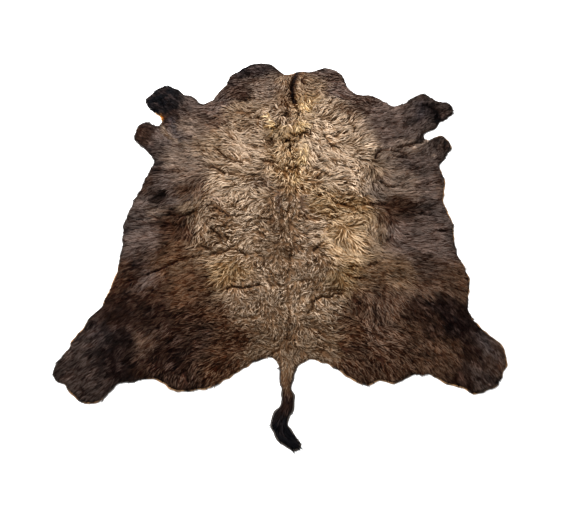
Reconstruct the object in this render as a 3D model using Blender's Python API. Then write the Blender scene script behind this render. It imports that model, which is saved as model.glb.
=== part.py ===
"""Bison hide rug: one tanned skin with its hair on, lying flat on the floor.

The skin is opened out with its neck edge toward +Y and its tail toward -Y. The solid is the skin
and its pile together: a flat underside, a rim of small hair locks, and a lumpy top that stands as
high as the hair does, with the partings and creases of the hide as soft troughs. Sizes are in
metres, and the tables are in centimetres or millimetres as each one says.
"""
import bisect
import math
import random

import bmesh
import bpy
from mathutils import Vector, geometry, kdtree, noise

CM = 0.01
MM = 0.001

# The locks at the rim
SKIN_RIM = 7 * MM  # skin and lying hair at the roots of the locks
LOCK_TIP = 2.5 * MM  # height of a lock at its tip
LOCK_COUNT = 280  # locks around the whole edge
LOCK_REACH = (6 * MM, 13 * MM)  # shortest and longest lock, measured from its root
TIP_SHARE = 0.4  # how much of a lock lies outside the line of the edge
ROOT_WANDER = 0.12  # how far a root strays from even spacing, in lock widths
TIP_PLACE = (0.38, 0.72)  # where a tip lies between its two roots, in lock widths

# The pile
PILE = 25 * MM  # the usual height of the hair over the floor
PILE_RISE = 35 * MM  # how far inside the edge the hair has mostly reached its height
CLUMP_SIZE = 95 * MM  # from one clump of wool to the next
CLUMP_HEIGHT = 7 * MM  # how much the clumps differ in height
CURLS_PER_CLUMP = 2.3  # smaller curls across one clump
CURL_SHARE = 0.5  # height of the curls as a share of the clumps

# The points that the surface is built on
EDGE_STEP = 6 * MM  # along the smooth line of the edge
TOP_PITCH = 38 * MM  # across the lumpy top
TOP_MARGIN = 24 * MM  # the top's points keep this far from the edge
POINT_WANDER = 0.16  # how far a point strays from its lattice, in pitches
SAME_POINT = 1e-7
SHARP_ANGLE = math.radians(50)
SEED = 27

# The edge, as bends from the nape round by the left side, the tail and the right side. A row is
# one bend in centimetres: how far it lies to the right of the middle line, then how far toward
# the neck from the middle of the rug.
NECK_LEFT = (
    # across, along
    (1, 108),
    (-7, 115.5),
    (-14.5, 118),
    (-21, 116.5),
    (-28.5, 111),
    (-33, 107.5),
    (-34.5, 101.5),
    (-40.5, 92.5),
    (-43.5, 86.5),
)
LEFT_FORELEG = (
    # across, along
    (-50, 84),
    (-54, 89),
    (-58.5, 90.5),
    (-65, 96),
    (-70.5, 98.5),
    (-76.5, 96),
    (-80.5, 90.5),
    (-82.5, 89),
    (-80.5, 81),
    (-75, 75.5),
    (-71.8, 72.3),
    (-71.3, 68.7),
    (-73, 66.5),
    (-80.5, 69.7),
    (-84, 67.5),
    (-86, 61),
    (-84.5, 54),
    (-79.5, 49.5),
    (-75.1, 44.5),
    (-72.5, 39),
)
# A row here is one section across the flanks
FLANKS = (
    # along, left edge, right edge
    (33, -75, 86.2),
    (28, -76.8, 87.3),
    (21, -78, 86.6),
    (12, -81.5, 85.2),
    (5, -82.7, 86.6),
    (-1, -84.5, 88.3),
    (-12, -83.6, 87.4),
    (-20, -83.6, 88),
    (-28, -84, 90.6),
    (-36, -85.4, 92),
    (-44, -87.6, 90),
)
LEFT_HIND_LEG = (
    # across, along
    (-89, -49.5),
    (-95, -57),
    (-96.2, -62),
    (-100, -65.6),
    (-101.6, -72),
    (-104.6, -76.5),
    (-106.5, -85),
    (-100, -90),
    (-94.5, -95.7),
    (-85.5, -98.5),
    (-79.5, -94),
    (-75.5, -89),
)
RUMP_LEFT = (
    # across, along
    (-68.5, -88),
    (-62.5, -86.5),
    (-56, -88.5),
    (-50, -92.8),
    (-43.5, -92.4),
    (-36.5, -91.8),
    (-30.5, -89.3),
    (-20.5, -83),
    (-12, -77.7),
    (-6, -76.1),
)
# A row here is one section along the tail, from its root to its tip
TAIL = (
    # across, along, width
    (1.5, -80, 9.6),
    (0.9, -85, 7.2),
    (0.5, -90.5, 5.2),
    (1.5, -95.3, 6),
    (1.3, -99.3, 6.6),
    (-1, -102.4, 7),
    (-2.8, -106.2, 7.8),
    (-0.9, -111.2, 8),
    (2.5, -115, 6.8),
    (5.4, -117.2, 4.2),
)
RUMP_RIGHT = (
    # across, along
    (11.5, -77.3),
    (20, -79.8),
    (28.5, -85.5),
    (37.5, -90),
    (43.5, -87.5),
    (50.5, -89),
    (58.5, -85),
    (67, -85),
)
RIGHT_HIND_LEG = (
    # across, along
    (74.5, -89.5),
    (79.5, -90.6),
    (85, -93.7),
    (90.3, -92.7),
    (96.5, -90),
    (99.8, -85.2),
    (103.3, -77.3),
    (101.5, -69.5),
    (95, -62.2),
    (90.2, -56),
    (89, -50),
)
RIGHT_FORELEG = (
    # across, along
    (85.6, 36.3),
    (89, 42.5),
    (94, 49),
    (93.7, 54.5),
    (88.5, 59.6),
    (82.5, 56.2),
    (79.6, 56.6),
    (80.2, 60.6),
    (86.3, 63.8),
    (90, 69.3),
    (95.5, 72.6),
    (99.2, 80.5),
    (97.5, 83.7),
    (91, 85.6),
    (82, 92.1),
    (73, 86.2),
    (64.5, 81.6),
)
NECK_RIGHT = (
    # across, along
    (58, 86.3),
    (51.5, 90.6),
    (44.5, 91),
    (38, 97.3),
    (35.3, 106),
    (31.5, 111.3),
    (25.5, 114.2),
    (15, 110),
    (10, 111),
)

# Where the hair stands higher or lower than usual. A row is one patch: its middle and its two
# reaches in centimetres, and the change of height in millimetres.
PILE_PATCHES = (
    # name, across, along, reach across, reach along, height
    ("hump", 3, 52, 40, 46, 10),
    ("mane", 7, 58, 11, 34, 9),
    ("lower back", 0, -25, 42, 45, 6),
    ("left shoulder", -45, 45, 22, 30, 3),
    ("right shoulder", 42, 40, 24, 30, 4),
    ("left foreleg roll", -71, 85, 9, 10, 7),
    ("left second lobe", -80, 60, 10, 9, -5),
    ("right foreleg roll", 87, 75, 9, 9, 12),
    ("right second lobe", 88, 50, 10, 9, -4),
    ("left hind leg", -92, -82, 22, 22, -6),
    ("right hind leg", 93, -78, 20, 22, -6),
    ("left flank edge", -80, 0, 14, 50, -5),
    ("right flank edge", 86, 0, 14, 50, -5),
    ("tail root", 2, -84, 9, 10, -10),
    ("tail brush", 0, -108, 9, 12, -1),
)

# Partings of the hair and soft creases of the skin. A row is one straight run of a trough: its
# two ends and half width in centimetres, and its depth in millimetres.
TROUGHS = (
    # name, across, along, to across, to along, half width, depth
    ("crease at the nape", 6, 106, 4, 82, 2.6, 13),
    ("parting of the mane", 4, 80, 6, 20, 2.2, 8),
    ("parting of the back", 6, 20, 2, -74, 2.4, 7),
    ("upper left parting", -37, 49, -27, 40, 2.6, 9),
    ("upper left parting, inner end", -27, 40, -6, 41, 2.2, 6),
    ("lower left parting", -38, 38, -30, 33, 2.4, 8),
    ("lower left parting, inner end", -30, 33, -12, 31, 2.2, 5),
    ("right whorl", 51, 43, 56, 49, 2.4, 9),
    ("right whorl, outer end", 56, 49, 65, 44, 2.4, 8),
    ("right edge of the wool", 50, 40, 49, -25, 3.0, 7),
    ("left edge of the wool", -41, 36, -42, -16, 3.0, 5),
    ("left flank blotch", -62, 20, -68, 2, 3.2, 7),
    ("left flank crease", -71, -33, -57, -27, 3.0, 9),
    ("left flank crease, inner end", -57, -27, -46, -20, 3.0, 8),
    ("crease inside it", -31, -16, -19, -20, 2.4, 5),
    ("left loin parting", -29, -40, -11, -37, 2.4, 7),
    ("right flank band", 56, 11, 80, 5, 3.6, 7),
    ("right loin band", 60, -19, 76, -28, 3.4, 8),
    ("right loin band, outer end", 76, -28, 88, -35, 3.0, 6),
    ("right hind hollow", 73, -42, 88, -66, 4.5, 8),
    ("right hind hollow, lower end", 88, -66, 90, -80, 4.0, 6),
    ("left hind hollow", -76, -50, -86, -66, 4.5, 8),
    ("left hind hollow, lower end", -86, -66, -90, -76, 4.0, 6),
    ("right foreleg crease", 87, 84, 92, 68, 2.4, 12),
    ("left foreleg crease", -64, 88, -63, 74, 2.4, 6),
)


def clear_scene():
    for thing in list(bpy.data.objects):
        bpy.data.objects.remove(thing, do_unlink=True)


def tail_edge():
    """The tail's edge, down its left side, round the tip and up its right side."""
    left = []
    right = []
    last = len(TAIL) - 1
    for i, (across, along, width) in enumerate(TAIL):
        before = TAIL[max(i - 1, 0)]
        after = TAIL[min(i + 1, last)]
        heading = Vector((after[0] - before[0], after[1] - before[1])).normalized()
        middle = Vector((across, along))
        aside = Vector((heading.y, -heading.x)) * (width / 2)
        left.append(middle + aside)
        right.append(middle - aside)
    tip = middle + heading * (width / 2)
    return left + [tip] + right[::-1]


def edge_bends():
    """All bends of the edge in order, in metres."""
    left_flank = [(left, along) for along, left, _ in FLANKS]
    right_flank = [(right, along) for along, _, right in reversed(FLANKS)]
    bends = []
    for part in (NECK_LEFT, LEFT_FORELEG, left_flank, LEFT_HIND_LEG, RUMP_LEFT, tail_edge(),
                 RUMP_RIGHT, RIGHT_HIND_LEG, right_flank, RIGHT_FORELEG, NECK_RIGHT):
        bends.extend(Vector((across, along)) * CM for across, along in part)
    return bends


def smooth_edge(bends, step):
    """A smooth closed curve through the bends, as points about a step apart."""
    count = len(bends)
    spans = [(bends[(i + 1) % count] - bends[i]).length for i in range(count)]
    headings = []
    for i in range(count):
        short, long = spans[i - 1], spans[i]
        coming = (bends[i] - bends[i - 1]) / short
        going = (bends[(i + 1) % count] - bends[i]) / long
        headings.append((coming * long + going * short) / (short + long))
    curve = []
    for i in range(count):
        here, there = bends[i], bends[(i + 1) % count]
        handle = spans[i] / 3
        steps = max(2, math.ceil(spans[i] / step))
        run = geometry.interpolate_bezier(here, here + headings[i] * handle,
                                          there - headings[(i + 1) % count] * handle,
                                          there, steps + 1)
        curve.extend(run[:-1])
    return curve


def walk(curve):
    """Distance along the closed curve at each of its points, and its whole length."""
    reached = [0.0]
    for i, point in enumerate(curve):
        reached.append(reached[-1] + (curve[(i + 1) % len(curve)] - point).length)
    return reached[:-1], reached[-1]


def place_on(curve, reached, distance):
    """The point of the curve at a distance along it, and the direction into the hide there."""
    i = bisect.bisect_right(reached, distance) - 1
    here, there = curve[i], curve[(i + 1) % len(curve)]
    heading = (there - here).normalized()
    return here + heading * (distance - reached[i]), Vector((-heading.y, heading.x))


def rim_locks(curve, chance):
    """The rim as points with heights: each lock's root on the left, then its tip."""
    reached, length = walk(curve)
    pitch = length / LOCK_COUNT
    rim = []
    for i in range(LOCK_COUNT):
        root_at = (i + chance.uniform(-ROOT_WANDER, ROOT_WANDER)) * pitch % length
        tip_at = (i + chance.uniform(*TIP_PLACE)) * pitch % length
        root, inward = place_on(curve, reached, root_at)
        tip, inward_at_tip = place_on(curve, reached, tip_at)
        reach = chance.uniform(*LOCK_REACH)
        root = root + inward * reach * (1 - TIP_SHARE)
        tip = tip - inward_at_tip * reach * TIP_SHARE
        rim.append((root, SKIN_RIM))
        rim.append((tip, LOCK_TIP))
    return rim


def from_edge(point, edge_tree):
    """Distance of a point from the line of the edge."""
    return edge_tree.find((point.x, point.y, 0))[2]


def inside(point, outline):
    """Whether a point lies within a closed outline."""
    within = False
    before = outline[-1]
    for corner in outline:
        if (corner.y > point.y) != (before.y > point.y):
            crossing = (before.x - corner.x) * (point.y - corner.y) / (before.y - corner.y)
            if point.x < corner.x + crossing:
                within = not within
        before = corner
    return within


def spread(outline, edge_tree, chance):
    """Points on a loose triangular lattice within the outline, clear of its edge."""
    reach = max(max(abs(corner.x), abs(corner.y)) for corner in outline)
    row_gap = TOP_PITCH * math.sqrt(3) / 2
    rows = math.ceil(reach / row_gap)
    columns = math.ceil(reach / TOP_PITCH)
    wander = POINT_WANDER * TOP_PITCH
    points = []
    for row in range(-rows, rows + 1):
        for column in range(-columns, columns + 1):
            across = (column + (row % 2) / 2) * TOP_PITCH + chance.uniform(-wander, wander)
            along = row * row_gap + chance.uniform(-wander, wander)
            point = Vector((across, along))
            if from_edge(point, edge_tree) > TOP_MARGIN and inside(point, outline):
                points.append(point)
    return points


def trough_depth(point):
    """How deep the partings and creases lie at a point."""
    depth = 0.0
    for _, across, along, to_across, to_along, half_width, deep in TROUGHS:
        start = Vector((across, along)) * CM
        run = Vector((to_across, to_along)) * CM - start
        share = min(1.0, max(0.0, (point - start).dot(run) / run.length_squared))
        off = (point - start - run * share).length / (half_width * CM)
        depth = max(depth, deep * MM * math.exp(-off * off))
    return depth


def clumps(point):
    """How far the clumped, curly wool stands above or below its usual height."""
    across, along = point / CLUMP_SIZE
    clump = noise.noise(Vector((across, along, 0)))
    curl = noise.noise(Vector((across, along, 1)) * CURLS_PER_CLUMP)
    return CLUMP_HEIGHT * (clump + CURL_SHARE * curl)


def pile_height(point, edge_distance):
    """The height of the hair over the floor at a point that far inside the edge."""
    height = PILE
    for _, across, along, reach_across, reach_along, change in PILE_PATCHES:
        off_across = (point.x - across * CM) / (reach_across * CM)
        off_along = (point.y - along * CM) / (reach_along * CM)
        height += change * MM * math.exp(-off_across * off_across - off_along * off_along)
    height += clumps(point) - trough_depth(point)
    risen = 1 - math.exp(-edge_distance / PILE_RISE)
    return SKIN_RIM + max(0.0, height - SKIN_RIM) * risen


def triangles_within(outline, points):
    """Triangles between the outline and the points inside it, as corners and faces."""
    loop = [(i, (i + 1) % len(outline)) for i in range(len(outline))]
    found = geometry.delaunay_2d_cdt(outline + points, loop, [], 1, SAME_POINT, False)
    corners = found[0]
    faces = []
    for face in found[2]:
        middle = sum((corners[i] for i in face), Vector((0, 0))) / len(face)
        if inside(middle, outline):
            faces.append(face)
    return corners, faces


def centre_on_floor(body):
    """Move the hide sideways so that the middle of its box lies over the origin."""
    across = [vert.co.x for vert in body.verts]
    along = [vert.co.y for vert in body.verts]
    middle = Vector(((min(across) + max(across)) / 2, (min(along) + max(along)) / 2, 0))
    bmesh.ops.translate(body, verts=body.verts, vec=-middle)


def make_hide():
    chance = random.Random(SEED)
    curve = smooth_edge(edge_bends(), EDGE_STEP)
    rim = rim_locks(curve, chance)
    outline = [point for point, _ in rim]
    edge_tree = kdtree.KDTree(len(curve))
    for i, point in enumerate(curve):
        edge_tree.insert((point.x, point.y, 0), i)
    edge_tree.balance()
    corners, faces = triangles_within(outline, spread(outline, edge_tree, chance))

    heights = [height for _, height in rim]
    for corner in corners[len(rim):]:
        heights.append(pile_height(corner, from_edge(corner, edge_tree)))
    body = bmesh.new()
    top = [body.verts.new((*corner, height)) for corner, height in zip(corners, heights)]
    under = [body.verts.new((*point, 0)) for point in outline]
    for face in faces:
        body.faces.new([top[i] for i in face])
    body.faces.new(under[::-1])
    for i in range(len(rim)):
        following = (i + 1) % len(rim)
        body.faces.new((under[i], under[following], top[following], top[i]))
    bmesh.ops.triangulate(body, faces=body.faces[:])
    bmesh.ops.recalc_face_normals(body, faces=body.faces[:])

    centre_on_floor(body)
    mesh = bpy.data.meshes.new("hide")
    body.to_mesh(mesh)
    body.free()
    mesh.shade_smooth()
    mesh.set_sharp_from_angle(angle=SHARP_ANGLE)
    hide = bpy.data.objects.new("hide", mesh)
    bpy.context.scene.collection.objects.link(hide)
    return hide


def make_hair_material():
    material = bpy.data.materials.new("bison hair")
    material.use_nodes = True
    surface = material.node_tree.nodes["Principled BSDF"]
    surface.inputs["Base Color"].default_value = (0.105, 0.066, 0.040, 1)
    surface.inputs["Roughness"].default_value = 0.85
    surface.inputs["Metallic"].default_value = 0.0
    return material


clear_scene()
rug = make_hide()
rug.data.materials.append(make_hair_material())
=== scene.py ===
"""A bison hide rug: a tanned skin laid flat, its dark underwool, and the coat of hair on it."""

import math

import bmesh
import bpy
import numpy as np
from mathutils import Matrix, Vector, kdtree, noise
from mathutils.bvhtree import BVHTree
from mathutils.geometry import delaunay_2d_cdt


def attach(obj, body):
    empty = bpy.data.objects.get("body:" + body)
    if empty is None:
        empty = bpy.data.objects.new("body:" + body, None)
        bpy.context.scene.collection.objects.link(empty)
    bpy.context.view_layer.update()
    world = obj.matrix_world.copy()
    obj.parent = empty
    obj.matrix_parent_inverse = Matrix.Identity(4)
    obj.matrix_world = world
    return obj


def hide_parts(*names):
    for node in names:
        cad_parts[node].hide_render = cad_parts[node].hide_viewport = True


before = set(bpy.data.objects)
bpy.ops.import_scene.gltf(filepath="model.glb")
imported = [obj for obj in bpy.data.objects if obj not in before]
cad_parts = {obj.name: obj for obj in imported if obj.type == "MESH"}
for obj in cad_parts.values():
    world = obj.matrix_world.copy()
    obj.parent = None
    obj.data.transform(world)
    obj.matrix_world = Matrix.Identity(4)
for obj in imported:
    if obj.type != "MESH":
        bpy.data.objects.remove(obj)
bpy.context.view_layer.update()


# The skin: one whole bison hide, tanned soft and trimmed along its own outline, with no seam and
# no lining. Its cut edge shows as a thin tan line where the hair falls short of it. It lies flat,
# and its rim lifts from the floor here and there by a millimetre or two.
MM = 0.001
CM = 0.01
SKIN_THICKNESS = 3 * MM
SKIN_BAND = 12 * MM  # the width along the rim that may lift
SKIN_LIFT = 2 * MM
SKIN_LIFT_SIZE = 1 / 7  # of a metre, the usual width of a rise
SKIN_ROUNDING = 0.8 * MM
SKIN_STEP = 6 * MM
SKIN_WAVER = 8 * MM
SKIN_WAVER_SIZE = 34 * MM
TAN = (0.40, 0.22, 0.095)
TAN_STAINED = (0.22, 0.11, 0.0399)
BARE_PATCH = 40 * MM
BARE_EDGE = (
    # across and along in centimetres, reach, share of the rim that shows bare
    # the neck
    (-17, 117, 12, 0.0), (4, 110, 8, 0.5), (26, 115, 10, 0.0), (-34, 103, 7, 0.3),
    (40, 98, 8, 0.1),
    # the left foreleg and side
    (-76, 96, 14, 0.0), (-71, 74, 2.5, 1.0), (-84, 54, 8, 0.0), (-87, 64, 3, 0.8),
    (-76, 34, 12, 0.0), (-83, 6, 18, 0.0), (-84, -40, 6, 0.9),
    # the left hind leg and rump
    (-91, -56, 6, 0.2), (-97, -66, 5, 0.7), (-104, -82, 9, 0.1), (-92, -97, 7, 0.6),
    (-72, -86, 8, 0.1), (-50, -91, 8, 0.6), (-24, -82, 8, 0.5),
    # the tail
    (-4, -76, 5, 0.3), (8, -77, 5, 0.3), (2, -92, 8, 0.0), (1, -108, 12, 0.0),
    # the right rump and hind leg
    (20, -79, 7, 0.4), (36, -86, 8, 0.6), (66, -84, 8, 0.2), (80, -90, 7, 0.9), (96, -92, 6, 0.2),
    (106, -77, 6, 0.7), (96, -60, 6, 0.6), (90, -51, 4, 0.1),
    # the right side and foreleg
    (92, -36, 9, 0.8), (91, -18, 8, 0.3), (90, 0, 12, 1.0), (89, 26, 8, 1.0), (92, 40, 5, 0.1),
    (98, 57, 5, 0.6), (86, 92, 16, 0.0), (103, 80, 8, 0.0), (60, 88, 8, 0.1),
)


def hide_solid():
    """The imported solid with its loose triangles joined."""
    solid = bmesh.new()
    solid.from_mesh(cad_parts["hide"].data)
    bmesh.ops.remove_doubles(solid, verts=solid.verts, dist=0.01 * MM)
    return solid


def rim_of(solid):
    """The outline of the solid's flat underside, counter-clockwise from above."""
    on_floor = [face for face in solid.faces if max(v.co.z for v in face.verts) < 0.1 * MM]
    following = {}
    for face in on_floor:
        for corner in face.loops:
            if any(other not in on_floor for other in corner.edge.link_faces):
                following[corner.vert] = corner.link_loop_next.vert
    start = min(following, key=lambda corner: corner.co.y)
    rim = [start]
    while following[rim[-1]] is not start:
        rim.append(following[rim[-1]])
    return np.array([v.co.xy for v in reversed(rim)])


def even_steps(loop, step):
    """The same closed line with points one step apart."""
    closed = np.vstack([loop, loop[:1]])
    run = np.concatenate([[0], np.cumsum(np.hypot(*np.diff(closed, axis=0).T))])
    marks = np.linspace(0, run[-1], round(run[-1] / step), endpoint=False)
    return np.column_stack([np.interp(marks, run, closed[:, side]) for side in (0, 1)])


def softened(loop, times):
    """A closed line with each point moved towards its neighbours."""
    for _ in range(times):
        loop = loop / 2 + (np.roll(loop, 1, axis=0) + np.roll(loop, -1, axis=0)) / 4
    return loop


def outward(loop):
    """Unit vectors square to a closed counter-clockwise line, pointing out of it."""
    along = np.roll(loop, -1, axis=0) - np.roll(loop, 1, axis=0)
    along /= np.linalg.norm(along, axis=1)[:, None]
    return np.column_stack([along[:, 1], -along[:, 0]])


def inside(points, loop):
    """Which of the points lie within a closed line."""
    within = np.zeros(len(points), bool)
    for (x0, y0), (x1, y1) in zip(loop, np.roll(loop, -1, axis=0)):
        crosses = (y0 > points[:, 1]) != (y1 > points[:, 1])
        if crosses.any():
            reach = x0 + (points[crosses, 1] - y0) * (x1 - x0) / (y1 - y0)
            within[crosses] ^= points[crosses, 0] < reach
    return within


def triangles_in(loop, more=()):
    """Triangles over the area within a closed line, through more points in it."""
    points = [Vector(p) for p in loop] + [Vector(p) for p in more]
    edges = [(i, (i + 1) % len(loop)) for i in range(len(loop))]
    places, _, faces, *_ = delaunay_2d_cdt(points, edges, [], 0, 1e-7)
    places = np.array([tuple(p) for p in places])
    faces = np.array(faces)
    return places, faces[inside(places[faces].mean(axis=1), loop)]


def uneven(points, size, seed):
    """Smooth random values over the points, from about -1 to 1."""
    return np.array([noise.noise(Vector((x, y, seed)) / size) for x, y in points])


def blended(places, reaches, values, points, faded):
    """Values at the points, from values at places that fade into each other."""
    total = np.zeros((len(points), len(values[0])))
    weight = np.zeros(len(points))
    for place, reach, value in zip(places, reaches, values):
        away = np.linalg.norm(points - place, axis=1) / reach
        share = 1 / (faded + away ** 2) ** 2
        share *= np.exp(-(away ** 2) / 6)
        total += share[:, None] * np.array(value)
        weight += share
    return total / weight[:, None]


def bare_share(points):
    """How much of the skin's edge the hair leaves bare by each point, from 0 to 1."""
    places = np.array([row[:2] for row in BARE_EDGE]) * CM
    share = blended(places, [row[2] * CM for row in BARE_EDGE], [row[3:] for row in BARE_EDGE],
                    points, 0.2)[:, 0]
    return share * np.clip(0.7 + 1.6 * uneven(points, BARE_PATCH, 5), 0, 1)


def new_mesh(name, points, faces):
    """A smooth mesh from its points and faces."""
    mesh = bpy.data.meshes.new(name)
    mesh.from_pydata([tuple(p) for p in points], [], [tuple(int(v) for v in face) for face in faces])
    mesh.shade_smooth()
    return mesh


def finished(name, mesh, *materials):
    """An object at the origin for a finished mesh."""
    piece = bpy.data.objects.new(name, mesh)
    bpy.context.scene.collection.objects.link(piece)
    for material in materials:
        mesh.materials.append(material)
    return piece


class Field:
    """One output of a node. It is reckoned with like the number or the vector it stands for."""

    def __init__(self, socket):
        self.socket = socket
        self.tree = socket.id_data

    def __getitem__(self, name):
        """Another output of the same node."""
        return Field(self.socket.node.outputs[name])

    def part(self, axis):
        """The X, Y or Z of a vector."""
        return field(self.tree, "ShaderNodeSeparateXYZ", {0: self})[axis]


def is_vector(value):
    """Whether a value is a vector or a colour, and not a number."""
    return isinstance(value, tuple) or (
        isinstance(value, Field) and value.socket.type in ("VECTOR", "RGBA"))


def calc(operation, *values):
    """A number worked out from numbers, or a vector from vectors or from a vector and a scale."""
    tree = next(value.tree for value in values if isinstance(value, Field))
    vectors = [is_vector(value) for value in values]
    if not any(vectors):
        return field(tree, "ShaderNodeMath", dict(enumerate(values)), operation=operation)
    if all(vectors):
        return field(tree, "ShaderNodeVectorMath", dict(enumerate(values)), operation=operation)
    return field(tree, "ShaderNodeVectorMath", {0: values[0], "Scale": values[1]}, operation="SCALE")


# What + - * / and ** do between fields, or between a field and a number or a vector
for sign, operation in (("add", "ADD"), ("sub", "SUBTRACT"), ("mul", "MULTIPLY"),
                        ("truediv", "DIVIDE"), ("pow", "POWER")):
    setattr(Field, f"__{sign}__", lambda here, there, name=operation: calc(name, here, there))
    setattr(Field, f"__r{sign}__", lambda here, there, name=operation: calc(name, there, here))


def filled(made, values):
    """A node with its inputs set. A value is a number, a vector, a colour, a text or a field."""
    for name, value in values.items():
        if isinstance(value, Field):
            made.id_data.links.new(value.socket, made.inputs[name])
        else:
            made.inputs[name].default_value = value
    return made


def field(tree, kind, values=None, **settings):
    """The first output of a new node."""
    made = tree.nodes.new(kind)
    for name, setting in settings.items():
        setattr(made, name, setting)
    return Field(filled(made, values or {}).outputs[0])


def between(value, low, high, first=0.0, last=1.0, **settings):
    """Goes from low to high while the value goes from first to last, and stays there past them."""
    return field(value.tree, "ShaderNodeMapRange",
                 {"Value": value, "From Min": first, "From Max": last, "To Min": low, "To Max": high},
                 **settings)


def read(tree, name, output="Fac"):
    """What is painted on the mesh under a name."""
    return field(tree, "ShaderNodeAttribute", attribute_name=name)[output]


def new_material(name, **values):
    """A Principled material with plain values set on its own sockets."""
    material = bpy.data.materials.new(name)
    material.use_nodes = True
    shader = material.node_tree.nodes["Principled BSDF"]
    filled(shader, {key.replace("_", " "): value for key, value in values.items()})
    return material, shader


def skin_mesh(edge):
    """The skin as a closed mesh: its underside, four rings round its cut edge, and its top."""
    out = outward(edge)
    band = softened(edge - out * SKIN_BAND, 6)
    lift = SKIN_LIFT * np.clip(uneven(edge, SKIN_LIFT_SIZE, 0) * 2.5, 0, 1)
    places, faces = triangles_in(band)
    rounded = edge - out * SKIN_ROUNDING
    rings = [
        np.column_stack([places, np.zeros(len(places))]),
        np.column_stack([rounded, lift]),
        np.column_stack([edge, lift + 0.3 * SKIN_THICKNESS]),
        np.column_stack([edge, lift + 0.7 * SKIN_THICKNESS]),
        np.column_stack([rounded, lift + SKIN_THICKNESS]),
        np.column_stack([places, np.full(len(places), SKIN_THICKNESS)]),
    ]
    starts = np.cumsum([0] + [len(ring) for ring in rings])
    faces = [*faces[:, ::-1], *(faces + starts[5])]
    for low, high in zip(starts[:5], starts[1:6]):
        for i in range(len(edge)):
            j = (i + 1) % len(edge)
            faces.append((low + i, low + j, high + j, high + i))
    points = np.vstack(rings)
    mesh = new_mesh("skin", points, faces)
    bare = mesh.attributes.new("bare", "FLOAT", "POINT")
    bare.data.foreach_set("value", bare_share(points[:, :2]).astype(np.float32))
    return mesh


def leather():
    """Mottled tan leather with a fine grain, and painted shade wherever hair covers it."""
    material, shader = new_material("tanned leather", Roughness=0.72, Sheen_Weight=0.15)
    tree = material.node_tree
    place = field(tree, "ShaderNodeTexCoord")["Object"]
    mottling = field(tree, "ShaderNodeTexNoise", {"Vector": place, "Scale": 9, "Detail": 6})
    grain = field(tree, "ShaderNodeTexVoronoi", {"Vector": place, "Scale": 420})
    colour = field(tree, "ShaderNodeValToRGB", {"Fac": mottling})
    stained, clean = colour.socket.node.color_ramp.elements
    stained.position = 0.3
    stained.color = (*TAN_STAINED, 1)
    clean.position = 0.7
    clean.color = (*TAN, 1)
    bump = field(tree, "ShaderNodeBump", {"Height": grain, "Strength": 0.4, "Distance": 0.6 * MM})
    # painted shade: the leather is darkened where hair covers it, and keeps its tan where the edge shows
    # bare
    shown = between(read(tree, "bare"), 0.06, 1, 0.1, 0.6)
    filled(shader, {"Base Color": colour * shown, "Normal": bump})
    return material


solid = hide_solid()
locks_rim = rim_of(solid)
edge_line = (locks_rim + np.roll(locks_rim, -1, axis=0)) / 2
edge = softened(even_steps(edge_line, SKIN_STEP), 3)
edge += outward(edge) * SKIN_WAVER * uneven(edge, SKIN_WAVER_SIZE, 9)[:, None]
skin = finished("skin", skin_mesh(edge), leather())
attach(skin, "root")
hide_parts("hide")
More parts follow.
